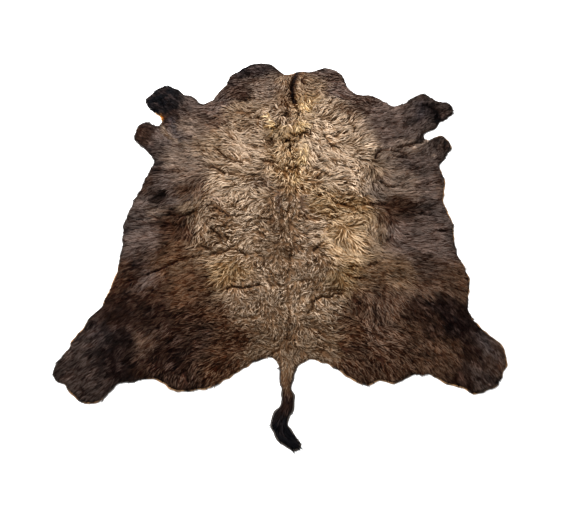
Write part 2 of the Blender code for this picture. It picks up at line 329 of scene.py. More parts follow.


# The underwool: a dense felted mat of short wool that fills the coat from the skin to about
# half its depth. It shows only as the dark between the locks, where it carries painted shade. It follows
# the solid's own rise and fall, so the locks rooted in it reach the height that the solid has.
WOOL_PITCH = 12 * MM
WOOL_INSET = 7 * MM
WOOL_SHARE = 0.5  # of the coat's depth
WOOL_LUMP = 2.5 * MM
WOOL_LUMP_SIZE = 28 * MM
WOOL_FLOOR = SKIN_THICKNESS + 0.2 * MM
DEEP_COAT = 20 * MM  # from here on lumps and creases have their full depth
CREASE_PITCH = 4 * MM
CREASE_REACH = 11 * MM
CREASE_SINK = 5 * MM
CAMERA_FOOT = np.array([0.0186, -1.908])
CAMERA_HEIGHT = 2.834
# A crease sinks the wool and parts and trims the hair over it, and is darkened with painted shade.
CREASES = (
    # half width in millimetres, strength, then across and along of each point in centimetres
    # the nape and the mane
    (10, 1.0, 9, 110, 6, 101, 6, 93, 8, 85), (8, 0.7, 2, 88, 3, 83), (6, 0.7, 10, 80, 9, 74),
    (6, 0.6, -3, 72, -2, 68), (7, 0.6, 2, 33, 3, 30),
    (5, 0.9, 14, 107, 12, 105, 12.5, 102.5, 14.5, 101.5), (12, 0.75, 3, 79, 4, 75),
    (7, 0.8, 5, 61.5, 10, 61, 13, 64), (7, 0.8, 2.5, 57.5, 7, 56.5),
    (6, 0.7, 5, 54, 4.5, 49, 5.5, 44), (7, 0.85, 3, 39, 6, 36.5, 9, 38), (8, 0.6, -1, 37, 2, 35),
    # the left of the hump
    (5, 1.0, -35.5, 49, -32, 45, -27, 42.5, -22, 41), (6, 1.0, -38.5, 38.5, -35, 36, -31.5, 33.5),
    (8, 0.5, -30, 33, -20, 31, -10, 31.5), (6, 0.8, -10, 42.5, -4, 41.5),
    (5, 0.9, -6, 59, -4.5, 54, -6, 51.5), (5, 0.8, -17, 54, -14, 53),
    (6, 0.7, -14, 75, -11, 73.5), (5, 0.7, -2, 69, -1, 66.5), (5, 0.5, -46, 53, -40, 52),
    # the right of the hump
    (5, 0.9, 24, 61, 27, 56, 28.5, 53), (5, 0.6, 29, 60, 36, 62), (5, 0.7, 26, 73, 30, 72),
    (6, 0.6, 40, 70, 42, 66, 41, 63), (9, 0.4, 28, 43, 33, 42), (5, 0.8, 17, 37, 24, 34, 26, 31),
    (5, 0.7, 14, 34, 17, 31),
    # the right shoulder and foreleg
    (5, 1.0, 52.5, 43.5, 53.5, 47, 56, 49.5, 62, 49, 67, 48.5, 70, 46),
    (5, 0.8, 62, 45.5, 64, 44.5, 68, 43.5), (6, 0.9, 66, 52, 73, 53, 77, 55),
    (16, 0.7, 80, 61, 78, 55), (12, 1.0, 84, 84, 89, 81, 92, 76, 90, 70),
    (8, 0.4, 74, 74, 70, 66), (9, 0.9, 93, 55, 92, 51, 94, 51),
    # the right side and the edge of its wool
    (6, 0.8, 71, 36, 75, 35.5), (18, 0.35, 51, 41, 50, 34), (18, 0.4, 52, 32, 50, 24),
    (20, 0.4, 52, 22, 50, 15), (18, 0.3, 51, 3, 53, -5), (18, 0.4, 52, -7, 51, -17),
    (5, 1.0, 54.5, 27.5, 57, 25, 61, 24), (8, 0.8, 44, 13, 50, 12, 55, 12.5),
    # the right ribs, flank and loin
    (6, 0.8, 29, 14, 34, 12, 38, 11), (5, 0.8, 40, 9, 42.5, 6),
    (5, 0.6, 31, 19, 38, 18, 44, 19.5), (32, 0.5, 58, 11, 66, 9, 76, 9), (18, 0.5, 63, 5, 69, 2),
    (5, 0.8, 73, 6, 78, 4.5), (4, 0.7, 79, -5.5, 86, -4.5), (6, 0.4, 72, 24, 80, 26),
    (24, 0.2, 62, -18, 67, -23, 73, -26, 80, -29), (4, 0.7, 54, -10, 58, -8),
    # the back
    (5, 0.35, 4, 26, 4.5, 16, 3.5, 6), (5, 0.3, 7, 28, 7.5, 21), (6, 0.4, 4, 4, 5, -6, 7, -16),
    (5, 0.35, 0, 18, 0, 2), (6, 0.45, 5, -16, 3, -34, 4, -50), (6, 0.35, 4, -50, 3, -72),
    (6, 0.6, -14, 3, -5, 2.5), (6, 0.7, -12, -5, -8, -8), (5, 0.6, 12, 3.5, 17, 3),
    (5, 0.9, 16.5, -16.5, 21, -12),
    # the golden patch
    (5, 0.6, 24, -2, 27, -4), (5, 0.8, 34, -26.5, 39, -26), (6, 0.8, 33, -31, 37, -33, 41, -33),
    (5, 0.7, 44, -26, 48, -24),
    # the left ribs and side
    (5, 1.0, -35, 10, -31, 8, -28, 5), (5, 0.6, -13, 29, -9, 28),
    (6, 0.9, -37, -3, -33, -6.5, -31, -9.5), (5, 0.8, -30, -4.5, -26.5, -2.5),
    (5, 0.8, -30, -7, -27.5, -9, -29, -12), (5, 0.9, -41, -14, -36.5, -16),
    (5, 0.9, -35, -18.5, -30, -18, -27, -16, -23, -16, -18, -19.5),
    (15, 0.75, -61.5, 21, -64, 14), (13, 0.7, -66, 12, -70, 3),
    (10, 0.5, -71, 34.5, -63, 34.5, -54, 35), (12, 0.4, -58, 22.5, -50, 22, -46, 24),
    (8, 0.7, -59, 5.5, -53, 4.5, -49, 6, -45, 8.5), (5, 0.7, -67, 4, -64, 2),
    (12, 0.4, -73, -0.5, -61, -1, -51, 0),
    # the left flank and hind leg
    (5, 1.0, -67, -31, -61, -28, -55, -24.5), (6, 0.7, -55, -24.5, -49, -21, -41, -20),
    (8, 0.6, -80, -36, -72, -34), (14, 0.6, -89, -73, -85, -72), (6, 0.7, -45, -82, -42.5, -87),
    # the lower back
    (5, 1.0, -27, -39, -24.5, -37.5, -20, -38.5, -16, -38, -11, -36.5),
    (5, 0.7, -7, -33, -6, -36, -3.5, -37), (5, 0.7, -4, -34, -0.5, -37.5),
    (5, 0.6, -6, -28, -3, -32), (5, 1.0, 16, -45.5, 20, -43, 24, -43.5, 27, -41.5, 30, -41.5),
    (5, 0.7, 23, -39.5, 30, -39.5), (6, 0.7, 15, -45, 15.5, -49, 13, -52),
    (5, 0.6, 10, -34.5, 15, -33.5, 17, -36, 18, -40), (5, 0.6, -17, -54.5, -12, -55),
    # the rump
    (9, 0.6, 36, -43, 38, -47), (12, 0.4, 51, -30, 50, -44), (9, 0.6, 27, -68, 30, -72),
    (6, 0.6, 43, -74, 50, -78), (5, 0.7, 18, -62, 21, -65), (5, 0.6, 18, -74, 20, -71),
    (5, 0.7, -4, -73, -1, -71.5),
)


def lattice(low, high, pitch):
    """Points of an even triangular lattice over a rectangle."""
    rows = np.arange(low[1], high[1], pitch * math.sqrt(3) / 2)
    return np.array([(x + pitch / 2 * (i % 2), y) for i, y in enumerate(rows)
                     for x in np.arange(low[0], high[0], pitch)])


def from_line(points, line):
    """Each point's distance from a line of points, and the direction to its nearest one."""
    tree = kdtree.KDTree(len(line))
    for i, p in enumerate(line):
        tree.insert((*p, 0), i)
    tree.balance()
    nearest = np.array([line[tree.find((*p, 0))[1]] for p in points])
    away = nearest - points
    distance = np.linalg.norm(away, axis=1)
    return distance, away / np.maximum(distance, 1e-6)[:, None]


def tops(points):
    """The height of the solid's top over each point."""
    ray = BVHTree.FromBMesh(solid)
    heights = []
    for x, y in points:
        hit = ray.ray_cast(Vector((x, y, 1)), Vector((0, 0, -1)))[0]
        heights.append(hit.z if hit else SKIN_THICKNESS)
    return np.array(heights)


def evened(values, faces, times):
    """Values of a mesh's points, each moved towards the mean of its neighbours."""
    pairs = np.vstack([faces[:, [0, 1]], faces[:, [1, 2]], faces[:, [2, 0]]])
    for _ in range(times):
        total = np.zeros(len(values))
        count = np.zeros(len(values))
        for here, there in (pairs.T, pairs.T[::-1]):
            np.add.at(total, here, values[there])
            np.add.at(count, here, 1)
        values = (values + total / np.maximum(count, 1)) / 2
    return values


def on_coat(places):
    """Where places in centimetres, read over the floor from the camera, lie on the coat's top."""
    places = np.array(places) * CM
    return places - (places - CAMERA_FOOT) * (tops(places) / CAMERA_HEIGHT)[:, None]


def beside(points, line):
    """Each point's distance from a line of straight parts, and the unit vector away from it."""
    best = np.full(len(points), np.inf)
    aside = np.zeros_like(points)
    for start, end in zip(line, line[1:]):
        run = end - start
        share = np.clip((points - start) @ run / (run @ run), 0, 1)
        away = points - (start + share[:, None] * run)
        distance = np.linalg.norm(away, axis=1)
        nearer = distance < best
        best[nearer] = distance[nearer]
        aside[nearer] = away[nearer] / np.maximum(distance[nearer], 1e-6)[:, None]
    return best, aside


def near_creases(points, reach):
    """Which of the points lie within reach of a crease."""
    near = np.zeros(len(points), bool)
    for line, _, _ in creases:
        close = ((points > line.min(axis=0) - reach) & (points < line.max(axis=0) + reach)).all(axis=1)
        close = np.flatnonzero(close)
        near[close[beside(points[close], line)[0] < reach]] = True
    return near


creases = [(on_coat(np.reshape(line, (-1, 2))), half * MM, strength)
           for half, strength, *line in CREASES]
wool_edge = softened(even_steps(edge - outward(edge) * WOOL_INSET, 10 * MM), 2)
coarse = lattice(edge.min(axis=0), edge.max(axis=0), WOOL_PITCH)
fine = lattice(edge.min(axis=0), edge.max(axis=0), CREASE_PITCH)
grid = np.vstack([coarse[~near_creases(coarse, CREASE_REACH + CREASE_PITCH)],
                  fine[near_creases(fine, CREASE_REACH)]])
grid = grid[inside(grid, wool_edge)]
grid = grid[from_line(grid, even_steps(wool_edge, 3 * MM))[0] > WOOL_PITCH * 0.6]
spots, wool_faces = triangles_in(wool_edge, grid)
room, to_rim = from_line(spots, even_steps(edge, 3 * MM))
coat_top = evened(tops(spots), wool_faces, 3)
depth = np.maximum(coat_top - WOOL_FLOOR, 1 * MM)
wool_top = WOOL_FLOOR + WOOL_SHARE * depth + (
    WOOL_LUMP * uneven(spots, WOOL_LUMP_SIZE, 3) * np.clip(depth / DEEP_COAT, 0, 1))
for line, half, strength in creases:
    near = np.exp(-((beside(spots, line)[0] / (1.6 * half)) ** 2))
    wool_top -= CREASE_SINK * strength * near * np.clip(depth / DEEP_COAT, 0, 1)
wool_top = np.maximum(wool_top, WOOL_FLOOR + 1 * MM)


# The coat's lie, colour and length, as the animal wore them: long curled wool on the hump, a
# golden mane along the neck, sleek hair on the flanks and legs. The colour also holds painted shade
# and sheen, in creases, along the rim and on folds. They are painted on the underwool
# as attributes. A row is one place, in centimetres, and a place fades into its neighbours.
COMBING = (
    # across, along, reach, heading in degrees
    # the neck
    (5, 104, 7, -95), (-18, 102, 15, -172), (-37, 88, 12, -138), (26, 103, 13, -8),
    (41, 92, 12, -42),
    # the mane
    (8, 84, 8, -100), (5, 62, 8, -85), (7, 42, 8, -95), (-1, 66, 4, -155), (13, 66, 4, -30),
    (0, 46, 4, -145), (14, 46, 4, -40),
    # the left of the hump, and the ribs
    (-30, 76, 15, 176), (-20, 58, 14, 160), (-24, 42, 12, 156), (-22, 25, 13, 180),
    (-24, 4, 13, -172),
    # the right of the hump, and the ribs
    (27, 82, 11, 28), (18, 62, 11, -47), (36, 66, 11, 25), (24, 47, 12, -26), (30, 30, 13, -22),
    (20, 10, 12, -16),
    # the star of the golden patch
    (27, -5, 5, -165), (42, -8, 5, -20), (37, 3, 4, 50), (33, -14, 6, -75), (32, -19, 7, -30),
    # the edges of the wool
    (50, 32, 9, -84), (52, -3, 9, -98), (57, 46, 7, 35), (-42, 20, 9, -112), (-44, -2, 8, -84),
    # the forelegs
    (-63, 84, 12, 150), (-74, 88, 10, 165), (-64, 66, 9, 142), (-79, 60, 10, 150),
    (72, 74, 12, 30), (90, 80, 10, 38), (87, 51, 9, 52),
    # the left side and hind leg
    (-52, 62, 14, 178), (-62, 42, 13, 175), (-64, 20, 13, -145), (-70, 0, 14, 178),
    (-64, -22, 13, -147), (-42, -24, 12, -160), (-68, -44, 14, -140), (-46, -48, 13, -160),
    (-84, -62, 14, -128), (-96, -82, 13, -132), (-52, -68, 14, -142), (-46, -86, 10, -112),
    (-26, -66, 13, -175), (-22, -80, 8, -125),
    # the right side and hind leg
    (56, 72, 14, 6), (70, 36, 14, 6), (70, 10, 14, 4), (72, -10, 13, 2), (70, -27, 13, -16),
    (46, -32, 11, -12), (62, -48, 12, -50), (44, -50, 11, -84), (80, -60, 14, -58),
    (96, -80, 13, -62), (52, -68, 13, -38), (46, -84, 10, -62), (26, -62, 13, -14),
    (20, -76, 8, -48),
    # the back, the rump and the tail
    (3, 10, 7, -90), (-12, -12, 10, -165), (16, -12, 10, -25), (-14, -33, 10, -48),
    (15, -33, 10, -130), (2, -30, 6, -90), (2, -60, 6, -90), (2, -80, 6, -92), (1, -92, 6, -86),
    (-1, -103, 6, -114), (1, -114, 5, -38),
)
PALETTE = {
    # what the eye sees of the hair, as display values up to 255. On the flanks and legs the greys of
    # mauve, plum and slate carry painted sheen as well as the hair's own colour
    "night": (17, 17, 20), "black": (22, 12, 10), "jet": (38, 24, 17), "soot": (46, 31, 23),
    "chocolate": (58, 42, 33), "ink": (46, 38, 36), "ash": (59, 48, 43),
    "dark russet": (62, 42, 30), "umber": (73, 53, 40), "cocoa": (72, 56, 47),
    "russet": (83, 58, 41), "plum": (79, 66, 60), "mauve": (94, 77, 69), "cinnamon": (88, 67, 54),
    "walnut": (101, 78, 59), "taupe": (112, 93, 80), "drab": (123, 100, 79),
    "honey": (142, 113, 81), "ochre": (123, 97, 68), "fawn": (146, 121, 98),
    "gold": (163, 131, 97), "sand": (161, 135, 110), "slate": (48, 44, 46),
    "pale gold": (196, 162, 112), "bone": (192, 162, 140), "orange": (178, 112, 42),
}
COAT = (
    # across, along, reach, colour
    # the neck
    (-15, 114, 7, "ink"), (-23, 113, 4, "night"), (-30, 102, 6, "ash"), (-9, 97, 7, "taupe"),
    (-23, 94, 7, "cocoa"), (-36, 90, 5, "plum"), (-38, 84, 8, "mauve"), (5, 102, 4, "drab"),
    (4, 92, 6, "walnut"), (25, 112, 6, "plum"), (33, 106, 4, "cocoa"), (17, 101, 7, "drab"),
    (34, 98, 7, "mauve"),
    # the right shoulder and foreleg
    (44, 84, 8, "cocoa"), (57, 78, 9, "mauve"), (58, 64, 10, "mauve"), (72, 62, 8, "plum"),
    (78, 76, 8, "plum"), (91, 82, 9, "ash"), (88, 52, 7, "ash"), (70, 52, 6, "taupe"),
    # the left foreleg and shoulder
    (-71, 87, 12, "night"), (-55, 82, 6, "ash"), (-66, 72, 5, "jet"), (-66, 60, 5, "plum"),
    (-73, 44, 4, "ink"), (-54, 56, 6, "plum"), (-82, 60, 7, "soot"), (-50, 84, 7, "plum"),
    (-42, 76, 8, "cocoa"), (-36, 69, 7, "cinnamon"),
    # the left of the hump
    (-22, 78, 9, "drab"), (-20, 62, 10, "fawn"), (-20, 46, 10, "fawn"), (-36, 52, 9, "drab"),
    # the left side
    (-48, 66, 7, "taupe"), (-52, 40, 9, "taupe"), (-69, 37, 7, "ink"), (-63, 28, 6, "plum"),
    (-47, 30, 5, "cinnamon"), (-51, 22, 4, "umber"), (-57, 16, 4, "plum"), (-47, 17, 4, "cocoa"),
    (-54, 8, 4, "jet"), (-64, 6, 4, "taupe"), (-68, -9, 5, "mauve"), (-67, -17, 5, "cocoa"),
    (-80, -12, 4, "ash"), (-72, 30, 8, "chocolate"), (-70, 16, 4, "plum"),
    # the mane
    (12, 88, 6, "honey"), (-4, 76, 6, "fawn"), (6, 64, 7, "ochre"), (8, 46, 7, "honey"),
    (8, 34, 7, "gold"),
    # the right of the hump
    (24, 80, 7, "sand"), (20, 60, 9, "sand"), (34, 66, 8, "sand"), (24, 45, 10, "sand"),
    (42, 50, 8, "sand"),
    # the right side
    (50, 40, 6, "drab"), (59, 44, 6, "taupe"), (70, 42, 9, "plum"), (64, 26, 9, "taupe"),
    (78, 26, 8, "mauve"), (84, 34, 6, "plum"), (50, 20, 6, "taupe"), (60, 10, 8, "dark russet"),
    (78, 8, 7, "plum"),
    # the ribs and the back
    (34, 30, 10, "sand"), (24, 14, 9, "honey"), (40, 13, 6, "honey"), (-28, 24, 9, "sand"),
    (-18, 14, 9, "sand"), (-35, 6, 7, "drab"), (-8, 26, 6, "drab"), (-5, 4, 6, "drab"),
    (7, 16, 4, "fawn"), (14, 0, 7, "fawn"),
    # the golden patch, and the side below it
    (36, -4, 8, "gold"), (30, -15, 7, "gold"), (47, -8, 6, "drab"), (62, -8, 8, "mauve"),
    (76, -10, 8, "mauve"), (85, -8, 6, "plum"),
    # the left flank and loin
    (-44, 10, 7, "drab"), (-42, 21, 4, "cinnamon"), (-37, 21, 5, "walnut"),
    (-48, -5, 4, "dark russet"), (-62, 19, 4, "jet"), (-55, -3, 6, "dark russet"),
    (-74, 4, 7, "plum"), (-74, -12, 8, "plum"), (-81, -4, 6, "ink"), (-56, -18, 8, "russet"),
    (-77, -29, 8, "dark russet"), (-66, -34, 4, "mauve"), (-70, -25, 5, "black"),
    (-49, -24, 4, "walnut"),
    # the left haunch and hind leg
    (-20, -10, 9, "sand"), (-36, -12, 7, "drab"), (-27, -28, 6, "honey"), (-45, -36, 9, "russet"),
    (-43, -54, 7, "dark russet"), (-60, -42, 5, "dark russet"), (-30, -52, 6, "russet"),
    (-72, -66, 6, "black"), (-84, -62, 5, "ink"), (-64, -50, 8, "soot"), (-51, -72, 7, "jet"),
    (-64, -68, 6, "cinnamon"), (-77, -50, 8, "jet"), (-74, -80, 7, "black"), (-93, -65, 6, "ash"),
    (-97, -81, 7, "ash"), (-80, -91, 8, "ash"),
    # the left rump
    (-36, -66, 7, "chocolate"), (-48, -87, 6, "chocolate"), (-59, -81, 6, "soot"),
    (-24, -70, 8, "russet"), (-13, -75, 5, "drab"),
    # the lower back
    (-1, -16, 6, "drab"), (-14, -44, 9, "fawn"), (0, -36, 7, "sand"), (14, -24, 9, "fawn"),
    (14, -44, 9, "sand"),
    # the right loin and haunch
    (30, -30, 7, "ochre"), (42, -34, 7, "walnut"), (56, -28, 6, "walnut"), (70, -25, 6, "cocoa"),
    (84, -34, 7, "umber"), (72, -38, 6, "cinnamon"), (48, -44, 7, "cinnamon"),
    (71, -58, 5, "soot"), (65, -48, 4, "jet"), (58, -60, 5, "umber"),
    # the right hind leg and rump
    (83, -58, 6, "black"), (84, -88, 5, "jet"), (56, -81, 6, "umber"), (37, -49, 6, "umber"),
    (77, -47, 6, "black"), (90, -71, 5, "jet"), (76, -72, 6, "umber"), (95, -69, 4, "plum"),
    (100, -74, 7, "cocoa"), (92, -87, 6, "ash"), (64, -75, 7, "umber"), (45, -61, 6, "cinnamon"),
    (38, -75, 7, "umber"), (33, -60, 6, "russet"), (18, -64, 7, "drab"),
    # the rump and the tail
    (0, -58, 8, "drab"), (3, -70, 6, "drab"), (2, -80, 5, "drab"), (1, -87, 4, "walnut"),
    (1, -97, 4, "jet"), (0, -110, 8, "night"),
)
MARKS = (
    # colour, half width in millimetres, strength, then across and along of each point
    ("bone", 8, 0.9, 68, 50.5, 74, 51.5, 79, 53.5, 83, 56, 85, 58),  # pale fold of the right elbow
    ("taupe", 14, 0.7, 82, 61, 84, 58),  # tan hair by that fold
    ("slate", 45, 0.8, 82, 83, 80, 75),  # grey of the right foreleg
    ("night", 40, 0.6, 86, 80, 90, 72),  # dark of the right foreleg
    ("slate", 20, 0.5, 86, 78, 90, 74),  # painted highlight on the bulge of the right foreleg
    ("bone", 5, 0.8, 84, 44.5, 84.5, 44),  # pale fleck of the right side
    ("slate", 22, 0.7, -63, 72, -58, 60),  # grey patch of the left elbow
    ("drab", 9, 0.6, -69, 70, -66, 61, -58, 55, -50, 53),  # tan streak of the left foreleg
    ("orange", 11, 1.0, -70.5, 74, -69.5, 71.5),  # bare spot of the left foreleg
    ("mauve", 14, 0.7, -1, 20, -2, 11),  # grey left of the back
    ("mauve", 12, 0.7, 11, 19, 11, 7),  # grey right of the back
    ("taupe", 32, 0.7, -12, 27, -6, 24),  # grey left of the mane's end
    ("pale gold", 18, 0.5, 12, 87, 15, 82),  # golden tuft, top of the mane
    ("pale gold", 14, 0.75, -6, 74, -2, 67),  # golden tuft, left of the mane
    ("pale gold", 18, 0.65, 9, 72, 10, 66),  # golden tuft, middle of the mane
    ("gold", 14, 0.7, 2, 56, 2, 44),  # golden edge of the mane, left
    ("pale gold", 14, 0.6, 12, 56, 12, 42),  # golden edge of the mane, right
    ("soot", 13, 0.85, 10, 111, 7, 101, 6, 93, 7, 87),  # painted shadow along the crease of the nape
    ("soot", 6, 0.7, 14, 107, 12, 105, 12.5, 102.5),  # dark tuft by the nape, with painted shadow of its crease
    ("chocolate", 18, 0.8, 3, 80, 4, 75),  # dark tuft of the mane, with painted shadow of its crease
    ("pale gold", 14, 0.5, 7, 34, 7, 29),  # golden tuft, end of the mane
    ("russet", 32, 0.9, 30, 82, 38, 75),  # russet of the right neck
    ("chocolate", 30, 0.6, -30, 97, -20, 91),  # dark of the left neck
    ("fawn", 14, 0.6, -43.5, 6, -41, -5),  # pale streak of the left ribs
    ("bone", 16, 0.5, -34, 16, -31, 14),  # pale curl of the left ribs
    ("umber", 22, 0.6, 83, 32, 83, 16),  # dark of the right edge
    ("ash", 24, 0.5, -93, -63, -98, -71),  # grey of the left hind leg
    ("slate", 30, 0.5, 94, -64, 100, -74),  # grey of the right hind foot
)
# Dark strands stand partly for darker hairs and partly for painted shadow in the gaps between locks.
HAIR = (
    # across, along, reach, length in millimetres, curl, share of dark strands
    # the neck and the mane
    (-20, 100, 14, 32, 0.5, 0.10), (28, 100, 12, 34, 0.55, 0.10), (6, 72, 12, 75, 1.0, 0.14),
    (7, 42, 9, 62, 1.0, 0.12),
    # the hump, the ribs and the golden patch
    (-22, 70, 14, 56, 0.95, 0.12), (-20, 50, 13, 60, 0.7, 0.09), (28, 78, 12, 56, 0.95, 0.16),
    (24, 50, 14, 62, 0.75, 0.09), (-24, 22, 14, 56, 0.85, 0.13), (-28, 2, 14, 38, 1.0, 0.22),
    (32, 30, 12, 56, 0.85, 0.13), (32, 12, 12, 50, 1.0, 0.18), (33, -10, 12, 56, 0.44, 0.02),
    # the shoulders and forelegs
    (-46, 66, 12, 48, 0.4, 0.06), (52, 68, 12, 48, 0.4, 0.08), (-72, 84, 12, 30, 0.2, 0.10),
    (-70, 73, 3, 9, 0.1, 0.0), (84, 78, 13, 30, 0.2, 0.06), (-80, 60, 9, 26, 0.15, 0.05),
    (86, 51, 9, 26, 0.15, 0.05),
    # the sides
    (-64, 24, 18, 52, 0.22, 0.04), (-68, -14, 18, 52, 0.22, 0.06), (70, 22, 18, 52, 0.22, 0.04),
    (72, -18, 18, 52, 0.25, 0.06),
    # the back, the loins and the rump
    (2, 6, 12, 34, 1.0, 0.20), (2, -30, 18, 30, 1.0, 0.15), (-46, -36, 14, 44, 0.4, 0.1),
    (48, -36, 14, 42, 0.45, 0.08), (0, -58, 20, 28, 0.9, 0.14), (-46, -72, 16, 36, 0.45, 0.18),
    (46, -70, 16, 36, 0.5, 0.18),
    # the hind legs
    (-84, -66, 18, 32, 0.18, 0.04), (84, -64, 18, 32, 0.18, 0.04), (-98, -86, 10, 24, 0.15, 0.04),
    (98, -82, 10, 24, 0.15, 0.04),
    # the tail and its brush
    (1, -90, 8, 20, 0.15, 0.03), (0, -108, 8, 36, 0.2, 0.03),
)
PATCH_WARP = 2 * CM
PATCH_WARP_SIZE = 11 * CM
PATCH_WARP_BAND = 6 * CM  # the width along the rim where the warp fades out
SWIRL_SIZE = 12 * CM
SWIRL = 0.8  # radians, where the wool curls most
STREAK_STEPS = (-3, -1.5, 0, 1.5, 3)  # centimetres along the hair
STREAK_SIZE = 2.4 * CM
BARE_BAND = 12 * MM
LONGER = 1.25
BLOTCH = 0.38
BLOTCH_SIZE = 7 * CM
DARK_PATCH_SIZE = 7 * CM
BROAD_CREASE = 13 * MM  # from this half width on, a crease is a soft shade
CREASE_SIDE = 8 * MM
CREASE_SHADE = 0.7
CREASE_DARK = 0.4  # the share of dark strands it adds
CREASE_TRIM = 0.6  # the share of the hair's length that is cut away in it
RIM_BAND = 18 * MM
RIM_SHADE_BAND = 15 * MM
NEAR_BLACK = 0.07  # luminance
LUMINANCE = (0.2126, 0.7152, 0.0722)
FOLD_SIZE = 4 * CM
FOLD_SHEEN = (50, 40, 36)  # the painted sheen on folds of dark hair, display values up to 255
OVERHANG = 3 * MM
SHORTEST_HAIR = 8 * MM


def linear(display):
    """A display colour up to 255 as linear light."""
    return [(value / 255) ** 2.2 for value in display]


def wavy(points, size, seed):
    """Stronger smooth random values, each seed a pattern of its own."""
    return uneven(points / size, 1, seed) * 1.6


def over_coat(rows, values, points, faded):
    """Values at the points from rows that start with a place on the coat and its reach."""
    return blended(on_coat([row[:2] for row in rows]), [row[2] * CM for row in rows], values, points,
                   faded)


def unit(vectors):
    """The vectors at a length of one."""
    return vectors / np.maximum(np.linalg.norm(vectors, axis=1), 1e-6)[:, None]


warp = np.column_stack([wavy(spots, PATCH_WARP_SIZE, seed) for seed in (11, 23)])
warp += 0.5 * np.column_stack([wavy(spots, PATCH_WARP_SIZE / 3, seed) for seed in (31, 43)])
warped = spots + warp * PATCH_WARP * np.clip(room / PATCH_WARP_BAND, 0, 1)[:, None]

bare = bare_share(spots)
coat = over_coat(COAT, [linear(PALETTE[row[3]]) for row in COAT], warped, 0.3)
hair_length, curl, dark_share = over_coat(HAIR, [row[3:] for row in HAIR], spots, 0.3).T
hair_length = hair_length * LONGER * MM
dark_share = dark_share * np.clip(1 + 1.6 * wavy(spots, DARK_PATCH_SIZE, 67), 0.15, 2.2)
woolliness = np.clip(curl * 1.6 - 0.5, 0.04, 1)
headings = [(math.cos(math.radians(row[3])), math.sin(math.radians(row[3]))) for row in COMBING]
comb = unit(over_coat(COMBING, headings, spots, 0.25))
turn = SWIRL * woolliness * wavy(spots, SWIRL_SIZE, 7)
comb = np.column_stack([comb[:, 0] * np.cos(turn) - comb[:, 1] * np.sin(turn),
                        comb[:, 0] * np.sin(turn) + comb[:, 1] * np.cos(turn)])
for colour, half, strength, *line in MARKS:
    distance = beside(spots, on_coat(np.reshape(line, (-1, 2))))[0]
    near = strength * np.exp(-((distance / (half * MM)) ** 2))
    coat += near[:, None] * (np.array(linear(PALETTE[colour])) - coat)
# Streaks along the hair and broad blotches: the hair's uneven tone, and painted light and shade of the
# coat's soft folds.
streaks = sum(wavy(spots + comb * step * CM, STREAK_SIZE, 71) for step in STREAK_STEPS) / 5
shade = 1 + streaks * (1 - 0.5 * woolliness)
shade += BLOTCH * (1 - 0.6 * woolliness) * wavy(warped, BLOTCH_SIZE, 83)
calm = np.zeros(len(spots))
# crease holds the painted shade of narrow creases, which darkens the underwool and the hair passing over
# them. Broad creases darken the coat's colour instead, and every crease adds dark strands as painted
# shade.
crease = np.zeros(len(spots))
for line, half, strength in creases:
    distance, aside = beside(spots, line)
    near = strength * np.exp(-((distance / (1.3 * half)) ** 4))
    opened = np.exp(-((distance / (half + CREASE_SIDE)) ** 2))
    if half < BROAD_CREASE:
        crease = np.maximum(crease, near)
    else:
        shade *= 1 - CREASE_SHADE * near
    calm = np.maximum(calm, strength * opened)
    dark_share += CREASE_DARK * near
    meets = -(aside * comb).sum(axis=1)
    reaches = distance / np.clip(meets, 0.2, 1)
    stopped = (meets > 0.1) & (reaches < hair_length) & (half < BROAD_CREASE)
    let_past = 1 - strength * np.clip(meets * 2, 0, 1)
    shortened = np.maximum(reaches + let_past * (hair_length - reaches), SHORTEST_HAIR)
    hair_length = np.where(stopped, shortened, hair_length)
    if half < BROAD_CREASE:
        hair_length *= 1 - CREASE_TRIM * near
    comb += aside * (0.9 * strength * opened * np.clip(distance / (2 * MM), 0, 1))[:, None]
calm = np.clip(calm, 0, 1)
curl = curl * (1 - 0.5 * calm)
woolliness = woolliness * (1 - 0.9 * calm)
near_rim = np.exp(-((room / RIM_BAND) ** 2))
comb = unit(comb + to_rim * (0.5 * near_rim)[:, None])
towards_rim = np.clip((comb * to_rim).sum(axis=1), 0.3, 1)
overhang = OVERHANG - BARE_BAND * bare
hair_length = np.minimum(hair_length, np.maximum((room + overhang) / towards_rim, SHORTEST_HAIR))
# Painted shadow along the rim, where the hair covers the skin's edge.
shade *= 1 - 0.5 * (1 - bare) ** 2 * np.exp(-((room / RIM_SHADE_BAND) ** 2))
# Dark hair gets painted sheen on the ridges of its soft folds, and painted shade between them.
darkness = np.clip(1 - coat @ LUMINANCE / NEAR_BLACK, 0, 1) * (1 - near_rim)
folds = np.clip(wavy(warped, FOLD_SIZE, 97) + 0.5 * wavy(warped, FOLD_SIZE / 2, 53), -1, 1)
shade *= 1 + 0.5 * darkness * folds
coat += (darkness * np.clip(folds, 0, 1))[:, None] * np.array(linear(FOLD_SHEEN))
coat *= (np.maximum(shade, 0.05) * (1 + 0.8 * np.clip(dark_share, 0, 0.5)))[:, None]
rise = np.maximum(coat_top - wool_top, 2 * MM)


# The underwool again: its closed mesh, which carries what was painted above, and its material. Wool
# under a coat lies in the shadow of the locks, so it shows much darker than the coat over it.
DEEPENING = 0.5
USUAL_TONE = 0.8
UNDERSIDE_COLOUR = (0.01, 0.008, 0.007, 1)


def painted(mesh, name, kind, values, below):
    """Stores values on the mesh's top points. The points of its underside get the value below."""
    layer = mesh.attributes.new(name, kind, "POINT")
    full = np.vstack([values.reshape(len(values), -1),
                      np.tile(np.atleast_1d(below), (len(mesh.vertices) - len(values), 1))])
    slot = {"FLOAT": "value", "FLOAT_VECTOR": "vector", "FLOAT_COLOR": "color"}[kind]
    layer.data.foreach_set(slot, full.astype(np.float32).ravel())


